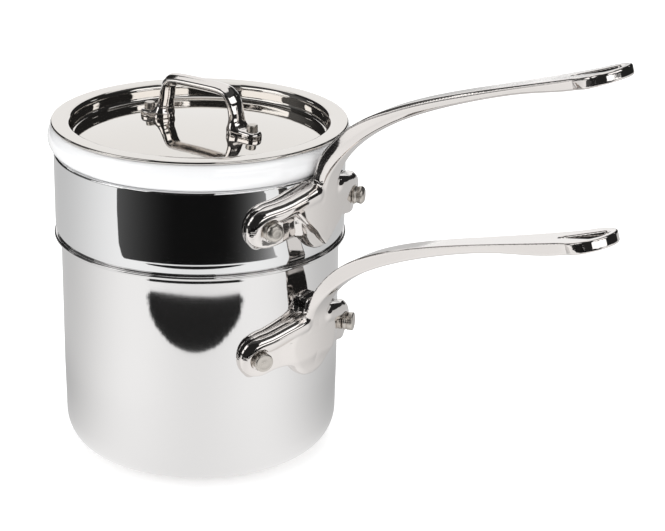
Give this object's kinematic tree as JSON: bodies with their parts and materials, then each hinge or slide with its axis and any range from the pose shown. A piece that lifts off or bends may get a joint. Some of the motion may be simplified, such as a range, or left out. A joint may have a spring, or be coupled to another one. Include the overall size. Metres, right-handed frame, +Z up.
{
  "type": "double boiler",
  "caption": "Double boiler: a steel saucepan with a riveted cast handle, a polished collar with its own handle, a porcelain insert and a lid with a bail handle.",
  "frame": {"origin": "middle of the saucepan's flat base, on the surface that it stands on", "axes": "+Z up along the pan's axis, +X along the saucepan's handle towards its tip, +Y to the left of the handle"},
  "size_m": [0.281, 0.1348, 0.2119],
  "materials": {
    "satin_steel": "satin-polished stainless steel with faint drawn streaks",
    "mirror_steel": "mirror-polished stainless steel",
    "lid_steel": "bright-polished stainless steel sheet with a fine spun grain",
    "cast_steel": "polished cast stainless steel",
    "rivet_steel": "plain stainless steel, slightly duller",
    "porcelain": null
  },
  "bodies": {
    "saucepan": {"saucepan": "satin_steel", "saucepan_handle": "cast_steel", "saucepan_rivet_near": "rivet_steel", "saucepan_rivet_far": "rivet_steel"},
    "collar": {"collar": "mirror_steel", "collar_handle": "cast_steel", "collar_rivet_near": "rivet_steel", "collar_rivet_far": "rivet_steel"},
    "insert": {"insert": "porcelain"},
    "lid": {"lid": "lid_steel", "lid_handle": "cast_steel", "lid_rivet_inner": "rivet_steel", "lid_rivet_outer": "rivet_steel"}
  },
  "joints": [
    {"name": "collar_lift", "type": "slide", "parent": "saucepan", "child": "collar", "axis": [0, 0, 1], "range_m": [0, 0.085]},
    {"name": "insert_lift", "type": "slide", "parent": "collar", "child": "insert", "axis": [0, 0, 1], "range_m": [0, 0.12]},
    {"name": "lid_lift", "type": "slide", "parent": "insert", "child": "lid", "axis": [0, 0, 1], "range_m": [0, 0.05]}
  ]
}
